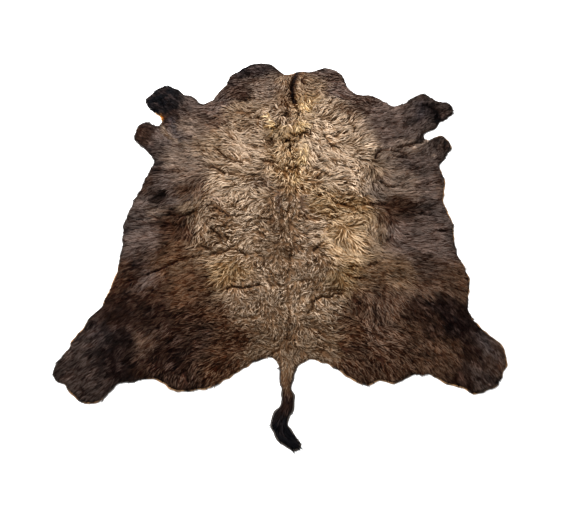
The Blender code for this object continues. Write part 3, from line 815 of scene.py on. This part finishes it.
def underwool_mesh():
    """The mat as a closed mesh, lumpy on top and flat below."""
    below, floor_faces = triangles_in(wool_edge)
    low = len(spots)
    faces = [*wool_faces, *(floor_faces[:, ::-1] + low)]
    for i in range(len(wool_edge)):
        j = (i + 1) % len(wool_edge)
        faces.append((i + low, j + low, j, i))
    top = np.column_stack([spots, wool_top])
    bottom = np.column_stack([below, np.full(len(below), WOOL_FLOOR)])
    return new_mesh("underwool", np.vstack([top, bottom]), faces)


def new_group(name, kind, inputs, output):
    """A node group with its named inputs, some of which have a usual value, and its output."""
    tree = bpy.data.node_groups.new(name, kind)
    for way, sockets in (("INPUT", inputs), ("OUTPUT", (output,))):
        for called, holds, *usual in sockets:
            socket = tree.interface.new_socket(called, in_out=way, socket_type="NodeSocket" + holds)
            for value in usual:
                socket.default_value = value
    return tree, Field(tree.nodes.new("NodeGroupInput").outputs[0])


def deepening_group():
    """A colour at a tone. Hair lit only through hair is deeper in hue, and shining hair paler."""
    tree, given = new_group("deepened hair", "ShaderNodeTree",
                            (("Colour", "Color"), ("Tone", "Float")), ("Deepened", "Color"))
    colour, tone = given["Colour"], given["Tone"]
    grey = calc("MAXIMUM", field(tree, "ShaderNodeRGBToBW", {"Color": colour}), 0.001)
    gamma = 1 - DEEPENING * calc("LOGARITHM", tone / USUAL_TONE, math.e)
    gamma = calc("MINIMUM", calc("MAXIMUM", gamma, 0.75), 2.2)
    hue = field(tree, "ShaderNodeGamma", {"Color": colour * (1 / grey), "Gamma": gamma})
    filled(tree.nodes.new("NodeGroupOutput"), {"Deepened": hue * (grey * tone)})
    return tree


def deepened(colour, tone):
    """The group above, placed in the material that the colour is read in."""
    return field(colour.tree, "ShaderNodeGroup", {"Colour": colour, "Tone": tone},
                 node_tree=deepening)


def matted_wool():
    """Felted wool with painted shade: darkest between its fibres and in the creases."""
    material, shader = new_material("matted underwool", Roughness=0.9, Specular_IOR_Level=0.1)
    tree = material.node_tree
    place = field(tree, "ShaderNodeTexCoord")["Object"]
    fibres = field(tree, "ShaderNodeTexNoise",
                   {"Vector": place, "Scale": 220, "Detail": 5, "Distortion": 1.5})
    # painted shade: the wool's tone falls between its fibres, and further in the creases
    open_to_light = between(read(tree, "crease"), 1.0, 0.05)
    tone = between(fibres, 0.12, 0.55, 0.3, 0.7) * open_to_light
    colour = deepened(read(tree, "coat", "Color"), tone)
    bump = field(tree, "ShaderNodeBump", {"Height": fibres, "Strength": 0.8, "Distance": 3 * MM})
    filled(shader, {"Base Color": colour, "Normal": bump})
    return material


deepening = deepening_group()
wool_mesh = underwool_mesh()
painted(wool_mesh, "coat", "FLOAT_COLOR", np.column_stack([coat, np.ones(len(coat))]),
        UNDERSIDE_COLOUR)
painted(wool_mesh, "comb", "FLOAT_VECTOR", np.column_stack([comb, np.zeros(len(comb))]), (0, -1, 0))
for name, values, below in (("length", hair_length, 0.01), ("curl", curl, 0), ("dark", dark_share, 0),
                            ("wool", woolliness, 0), ("rise", rise, 0.002), ("crease", crease, 0)):
    painted(wool_mesh, name, "FLOAT", values, below)
underwool = finished("underwool", wool_mesh, matted_wool())
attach(underwool, "root")
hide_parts("hide")


# The coat of hair: locks of a few flat strands each, rooted together in the underwool and drawn
# to one tip. Each leans along the coat's lie, bends and waves as much as the hair there curls,
# and rests on the wool under it. The coat is grown in pieces, a region of the hide each.
LOCK_INPUTS = (
    # name, kind, usual value
    ("Geometry", "Geometry"), ("Region", "String", ""), ("Locks per square metre", "Float", 7600.0),
    ("Strands in a lock", "Int", 3), ("Points along", "Int", 7), ("Width", "Float", 3.5 * MM),
    ("Lock width", "Float", 4 * MM), ("Draw together", "Float", 0.7), ("Stray", "Float", 0.3),
    ("Bend", "Float", 1.3), ("Wave height", "Float", 3.5 * MM), ("Waves", "Float", 1.8),
    ("Roll", "Float", 0.6), ("Stand", "Float", 1.0), ("Tuft size", "Float", 4.5 * CM),
    ("Tuft turn", "Float", 0.55), ("Gather", "Float", 0.3), ("Parting", "Float", 5.0),
    ("Seed", "Int", 1), ("Hair", "Material"),
)
# what is stored as a vector
VECTORS = ("centre", "comb", "inward", "spread", "cell")
WOOLLY_CURL = 0.42  # from this curl on, hair is wool
TAIL_ROOT = -0.8  # places along and across the hide, in metres
HALF_TAIL = 0.1
HUMP_END = 0.15
HUMP_MIDDLE = 0.04
RUMP_START = -0.28
MANE_MIDDLE = (0.06, 0.64)
MANE_REACH = (0.1, 0.3)
# what only the growing of a piece needs
SPENT = VECTORS + ("bend", "phase", "stand", "length", "roll", "size", "curl", "rise", "region",
                   "dark", "wool", "crease")
ALBEDO = 1.03  # how much paler a hair is than the coat looks, which its own shadows darken
STRAND_TONES = (
    # attribute, tone of the dark ones, half the range of the light ones
    ("tone", 0.24, 0.44), ("streak", 0.08, 0.56),
)


def turned(value, angle):
    """A vector turned about the upright axis."""
    return field(value.tree, "ShaderNodeVectorRotate", {"Vector": value, "Angle": angle},
                 rotation_type="Z_AXIS")


def kept(tree, name):
    """What is stored under a name."""
    return field(tree, "GeometryNodeInputNamedAttribute", {"Name": name},
                 data_type="FLOAT_VECTOR" if name in VECTORS else "FLOAT")


def stored(geometry, **values):
    """The geometry with values stored under their names, one after the other."""
    for name, value in values.items():
        geometry = field(geometry.tree, "GeometryNodeStoreNamedAttribute",
                         {"Geometry": geometry, "Name": name, "Value": value},
                         data_type="FLOAT_VECTOR" if name in VECTORS else "FLOAT")
    return geometry


def from_parts(x, y, z=0.0):
    """A vector from its three parts."""
    return field(x.tree, "ShaderNodeCombineXYZ", {0: x, 1: y, 2: z})


def clouds(place, scale):
    """Soft noise over a place, and as a colour three noises in one."""
    return field(place.tree, "ShaderNodeTexNoise", {"Vector": place, "Scale": scale, "Detail": 1})


def chance(low, high, seed):
    """A random number for each point."""
    made = field(seed.tree, "FunctionNodeRandomValue", {"Seed": seed}, data_type="FLOAT").socket.node
    sockets = {socket.identifier: socket for socket in (*made.inputs, *made.outputs)}
    sockets["Min_001"].default_value = low
    sockets["Max_001"].default_value = high
    return Field(sockets["Value_001"])


def darkened(seed, share):
    """A random tone from 0.25 to 1, or 0 for a share of the points that are dark."""
    light = calc("GREATER_THAN", chance(0, 1, seed), kept(seed.tree, "dark") * share)
    return light * chance(0.25, 1, seed + 7)


def wandering(place, size):
    """A place moved by a smooth noise, so that the tufts read from it have curved sides."""
    return place + (clouds(place, 22)["Color"] - (0.5, 0.5, 0.5)) * (size * 0.9)


def cleft_near(wandered, per_metre, reach):
    """1 on the cleft between two tufts, falling to 0 within a share of a tuft's size."""
    cleft = field(wandered.tree, "ShaderNodeTexVoronoi", {"Vector": wandered, "Scale": per_metre},
                  voronoi_dimensions="2D", feature="DISTANCE_TO_EDGE")["Distance"]
    return between(cleft, 1, 0, 0.0, reach, interpolation_type="SMOOTHSTEP")


def lock_tree():
    """Grows the locks of one region of the underwool."""
    tree, given = new_group("locks of hair", "GeometryNodeTree", LOCK_INPUTS,
                            ("Geometry", "Geometry"))
    seeds = [given["Seed"] * 31 + i for i in range(13)]
    place = field(tree, "GeometryNodeInputPosition")
    dark, wool, curl, length, comb = (
        kept(tree, name) for name in ("dark", "wool", "curl", "length", "comb"))

    # One point for each lock, and the tuft that it belongs to
    density = kept(tree, given["Region"]) * given["Locks per square metre"]
    points = field(tree, "GeometryNodeDistributePointsOnFaces",
                   {"Mesh": given["Geometry"], "Density": density, "Seed": seeds[0]})
    per_metre = 1 / given["Tuft size"]
    wandered = wandering(place, given["Tuft size"])
    tuft = field(tree, "ShaderNodeTexVoronoi", {"Vector": wandered, "Scale": per_metre},
                 voronoi_dimensions="2D")
    near_cleft = cleft_near(wandered, per_metre, 0.14) * wool
    inward = (tuft["Position"] - wandered) * (1, 1, 0)
    tuft_turn = (tuft["Color"].part("X") - 0.5) * (given["Tuft turn"] * (2 * wool))
    stray = given["Stray"] * (chance(-1, 1, seeds[1]) * (curl + 0.12)) + tuft_turn
    drift = clouds(place, 18)["Color"]
    alike = (drift.part("X") - 0.5) * 3
    # Near the clefts between tufts more strands are dark: painted shade in the clefts.
    points = stored(
        points,
        centre=place,
        parted=calc("MINIMUM", 1, dark * given["Parting"] * (0.3 + wool * 0.7)),
        dark=dark * (0.4 + near_cleft * 3),
        inward=inward * (given["Gather"] * wool),
        comb=turned(comb, stray),
        bend=(alike + chance(-0.4, 0.4, seeds[2])) * (given["Bend"] * (curl + 0.1)),
        phase=drift.part("Y") * 6 + chance(0, 0.35, seeds[3]),
        tone=darkened(seeds[4], 0.3),
        stand=chance(0.7, 1.15, seeds[5]) * (1 - near_cleft * 0.5),
        length=length * chance(0.7, 1.15, seeds[6]))

    # Each lock's strands, set about its middle, each with a cell of its own in a square
    strands = field(tree, "GeometryNodeDuplicateElements",
                    {"Geometry": points, "Amount": given["Strands in a lock"]}, domain="POINT")
    about = chance(0, math.tau, seeds[7])
    off = given["Lock width"] * calc("SQRT", chance(0, 1, seeds[8]))
    count = field(tree, "GeometryNodeAttributeDomainSize", {"Geometry": strands},
                  component="POINTCLOUD")["Point Count"]
    columns = calc("CEIL", calc("SQRT", count))
    index = field(tree, "GeometryNodeInputIndex")
    strands = stored(
        strands,
        spread=from_parts(off * calc("COSINE", about), off * calc("SINE", about)),
        roll=given["Roll"] * chance(-1, 1, seeds[9]),
        streak=darkened(seeds[10], 1.0),
        length=length * chance(0.8, 1.05, seeds[11]),
        size=given["Width"] * chance(0.7, 1.25, seeds[12]),
        cell=from_parts(calc("MODULO", index, columns) / columns,
                        calc("FLOOR", index / columns) / columns, 1 / columns))

    # One flat ribbon for each strand
    ribbon = field(tree, "GeometryNodeMeshGrid", {"Size X": 1, "Size Y": 1, "Vertices Y": 2,
                                                  "Vertices X": given["Points along"]})
    ribbon = stored(ribbon, along=place.part("X") + 0.5, across=place.part("Y"))
    hair = field(tree, "GeometryNodeInstanceOnPoints", {"Points": strands, "Instance": ribbon})
    hair = field(tree, "GeometryNodeRealizeInstances", {"Geometry": hair})

    # The ribbon's line: forward and aside along a bend with a wave on it
    t, across, bend = (kept(tree, name) for name in ("along", "across", "bend"))
    aside = turned(comb, math.pi / 2)
    wave = given["Wave height"] * curl
    angle = math.tau * (kept(tree, "phase") + t * given["Waves"])
    forward = length * (t - t ** 3 * (bend ** 2 / 6))
    sideways = wave * calc("SINE", angle) * calc("SQRT", t) + length * (t ** 2 * (bend / 2))
    flat = kept(tree, "centre") + kept(tree, "spread") * (1 - given["Draw together"] * t)
    flat = flat + kept(tree, "inward") * t + comb * forward + aside * sideways

    # Its height over the underwool, or over the floor past the rim
    ground = field(tree, "GeometryNodeRaycast",
                   {"Target Geometry": given["Geometry"], "Source Position": flat + (0, 0, 0.3),
                    "Ray Direction": (0, 0, -1), "Ray Length": 1.0,
                    "Attribute": kept(tree, "crease")}, data_type="FLOAT")
    base = calc("MAXIMUM", ground["Hit Position"].part("Z") * ground["Is Hit"], 2 * MM)
    swell = 1 - (1 - t) ** 2.4
    sink = 0.75 * t ** 4
    lift = (swell - sink) * (given["Stand"] * (kept(tree, "rise") * kept(tree, "stand")))
    lift = lift + wave * 0.45 * (t * calc("COSINE", angle))
    line = from_parts(flat.part("X"), flat.part("Y"), calc("MAXIMUM", base + lift, 0.5 * MM))

    # Its width, square to the line and rolled
    slope = wave / length * (math.tau * given["Waves"] * calc("COSINE", angle))
    roll = kept(tree, "roll")
    width_way = turned(aside, bend * t + slope) * calc("COSINE", roll) + (0, 0, 1) * calc("SINE", roll)
    taper = 0.7 + (t * 1.3 - t ** 2 * 1.9)
    final = line + width_way * (across * taper * kept(tree, "size"))

    # The shadow it passes through, in a crease of the coat or in a cleft between its tufts
    net = cleft_near(wandering(flat, given["Tuft size"]), per_metre, 0.11)
    net = net * between(clouds(flat, 34), 0.0, 1.0, 0.47, 0.57) * kept(tree, "parted")
    folded = ground["Attribute"] * between(clouds(flat, 75), 0.75, 1.0, 0.35, 0.5)
    hair = stored(hair, shadow=calc("MAXIMUM", folded, net))
    hair = field(tree, "GeometryNodeSetPosition", {"Geometry": hair, "Position": final})

    # A place of its own for each strand on the map that takes the coat's colours
    cell = kept(tree, "cell")
    upon = [corner + cell.part("Z") * (0.14 + share * 0.72)
            for corner, share in ((cell.part("X"), t), (cell.part("Y"), across + 0.5))]
    hair = field(tree, "GeometryNodeStoreNamedAttribute",
                 {"Geometry": hair, "Name": "OFBake", "Value": from_parts(*upon)},
                 data_type="FLOAT2", domain="CORNER")
    hair = field(tree, "GeometryNodeSetShadeSmooth", {"Geometry": hair})
    hair = field(tree, "GeometryNodeRealizeInstances", {"Geometry": hair})
    hair = field(tree, "GeometryNodeSetMaterial", {"Geometry": hair, "Material": given["Hair"]})
    filled(tree.nodes.new("NodeGroupOutput"), {0: hair})
    return tree


def hair_material(name, contrast, root, tip):
    """Hair that goes from one tone at its root to another at its tip, no two strands alike."""
    material, shader = new_material(name, Roughness=0.62, Specular_IOR_Level=0.02)
    tree = material.node_tree
    along, across, coat_colour = read(tree, "along"), read(tree, "across"), read(tree, "coat", "Color")
    tone = between(along, root, tip, 0.0, 0.4) * between(along, 1.0, 1.1, 0.4, 1.0)
    luminance = field(tree, "ShaderNodeRGBToBW", {"Color": coat_colour})
    wider = between(luminance, 2.6, 1.0, 0.01, 0.1) * between(read(tree, "parted"), 0.75, 1.25, 0.0, 0.8)
    for what, dark, half_range in STRAND_TONES:
        drawn = read(tree, what)
        dimness = between(drawn, 1.0, 0.0, 0.25, 1.0) ** 3
        light = 1 + wider * (half_range * contrast) * (0.28 - dimness * 1.73)
        light = calc("MAXIMUM", light, 0.1) * ALBEDO ** 0.5
        is_light = calc("GREATER_THAN", drawn, 0.1)
        tone = tone * (light * is_light + dark * (1 - is_light))
    shadow = read(tree, "shadow") * between(read(tree, "streak"), 0.8, 1.6, 1.0, 0.25)
    colour = deepened(coat_colour, tone * between(shadow, 1.0, 0.05))
    bump = field(tree, "ShaderNodeBump", {"Height": across * across * -4, "Strength": 1.0,
                                          "Distance": 0.5 * MM})
    filled(shader, {"Base Color": colour, "Normal": bump})
    return material


def grown(name, region, seed, hair, **sizes):
    """A piece of the coat, as a plain mesh."""
    piece = finished(name, wool_mesh.copy())
    painted(piece.data, "region", "FLOAT", region.astype(float), 0)
    modifier = piece.modifiers.new("locks", "NODES")
    modifier.node_group = locks
    sizes = {key.replace("_", " "): value for key, value in sizes.items()}
    sizes.update({"Region": "region", "Seed": seed, "Hair": hair})
    for item in locks.interface.items_tree:
        if item.in_out == "INPUT" and item.name in sizes:
            modifier[item.identifier] = sizes[item.name]
    bpy.context.view_layer.update()
    evaluated = piece.evaluated_get(bpy.context.evaluated_depsgraph_get())
    mesh = bpy.data.meshes.new_from_object(evaluated)
    piece.modifiers.remove(modifier)
    piece.data = mesh
    mesh.name = name
    for spent in SPENT:
        mesh.attributes.remove(mesh.attributes[spent])
    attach(piece, "root")
    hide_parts("hide")


locks = lock_tree()
woolly_hair = hair_material("bison hair", 1.0, 0.5, 1.05)
sleek_hair = hair_material("sleek bison hair", 0.9, 0.7, 1.0)
mane_hair = hair_material("bison mane", 1.2, 0.14, 1.2)
back_hair = hair_material("bison hair of the back", 1.15, 0.4, 1.1)
across_x, along_y = spots.T
on_tail = (along_y < TAIL_ROOT) & (np.abs(across_x) < HALF_TAIL)
sleek = (curl < WOOLLY_CURL) & ~on_tail
woolly = (curl >= WOOLLY_CURL) & ~on_tail
on_hump = woolly & (along_y > HUMP_END)
on_rump = woolly & (along_y <= RUMP_START)
on_mane = np.exp(-(((across_x - MANE_MIDDLE[0]) / MANE_REACH[0]) ** 2))
on_mane *= np.exp(-(((along_y - MANE_MIDDLE[1]) / MANE_REACH[1]) ** 4))
grown("hair_hump_left", on_hump & (across_x < HUMP_MIDDLE), 1, woolly_hair)
grown("hair_hump_right", on_hump & (across_x >= HUMP_MIDDLE), 2, woolly_hair)
grown("hair_back", woolly & ~on_hump & ~on_rump, 3, back_hair, Locks_per_square_metre=8000.0,
      Points_along=6, Width=3.2 * MM, Bend=1.7)
grown("hair_rump", on_rump, 8, woolly_hair, Locks_per_square_metre=11000.0, Points_along=5,
      Width=2.8 * MM, Bend=1.8, Tuft_size=3.2 * CM)
for side, part, seed in (("left", across_x < 0, 4), ("right", across_x >= 0, 5)):
    grown("hair_side_" + side, sleek & part, seed, sleek_hair, Locks_per_square_metre=8500.0,
          Strands_in_a_lock=4, Points_along=4, Width=2.8 * MM, Lock_width=8 * MM, Stray=0.9,
          Waves=0.8, Wave_height=2 * MM, Draw_together=0.3, Gather=0.0, Tuft_turn=0.0)
grown("hair_mane", on_mane, 6, mane_hair, Strands_in_a_lock=4, Width=4 * MM, Lock_width=5.5 * MM,
      Stray=0.6, Bend=2.0, Gather=0.5, Tuft_turn=1.2)
grown("hair_tail", on_tail, 7, sleek_hair, Locks_per_square_metre=9000.0, Points_along=4,
      Width=2.2 * MM, Bend=0.5, Tuft_turn=0.0, Gather=0.0, Stand=0.7)


# The studio: a plain pale floor that reaches far past the rug, a white sky that lights it softly,
# one square lamp high on the left, past the neck, and the camera at the photograph's angle.
HALF_FLOOR = 15
FLOOR_WHITE = (0.92, 0.92, 0.92, 1)
SKY_STRENGTH = 0.8
KEY_LIGHT_PLACE = Vector((-2.2, 2.6, 3.4))
KEY_LIGHT_SIDE = 1.2
KEY_LIGHT_POWER = 560
CAMERA_TILT = 30.9  # degrees up from straight down
LENS = 41.05  # millimetres
corners = [(x * HALF_FLOOR, y * HALF_FLOOR, 0) for x, y in ((-1, -1), (1, -1), (1, 1), (-1, 1))]
floor_mesh = bpy.data.meshes.new("floor")
floor_mesh.from_pydata(corners, [], [(0, 1, 2, 3)])
floor_paint, _ = new_material("pale floor", Base_Color=FLOOR_WHITE, Roughness=0.9)
floor = finished("floor", floor_mesh, floor_paint)
floor.location.z = -0.2 * MM

world = bpy.data.worlds.new("studio")
world.use_nodes = True
filled(world.node_tree.nodes["Background"], {"Color": (1, 1, 1, 1), "Strength": SKY_STRENGTH})
bpy.context.scene.world = world

lamp = bpy.data.lights.new("key light", "AREA")
lamp.size = KEY_LIGHT_SIDE
lamp.energy = KEY_LIGHT_POWER
key_light = bpy.data.objects.new("key light", lamp)
key_light.location = KEY_LIGHT_PLACE
key_light.rotation_euler = (-KEY_LIGHT_PLACE).to_track_quat("-Z", "Y").to_euler()
bpy.context.scene.collection.objects.link(key_light)

lens = bpy.data.cameras.new("camera")
lens.lens = LENS
camera = bpy.data.objects.new("camera", lens)
camera.location = (*CAMERA_FOOT, CAMERA_HEIGHT)
camera.rotation_euler = (math.radians(CAMERA_TILT), 0, 0)
bpy.context.scene.collection.objects.link(camera)
bpy.context.scene.camera = camera
bpy.context.scene.view_settings.view_transform = "Standard"
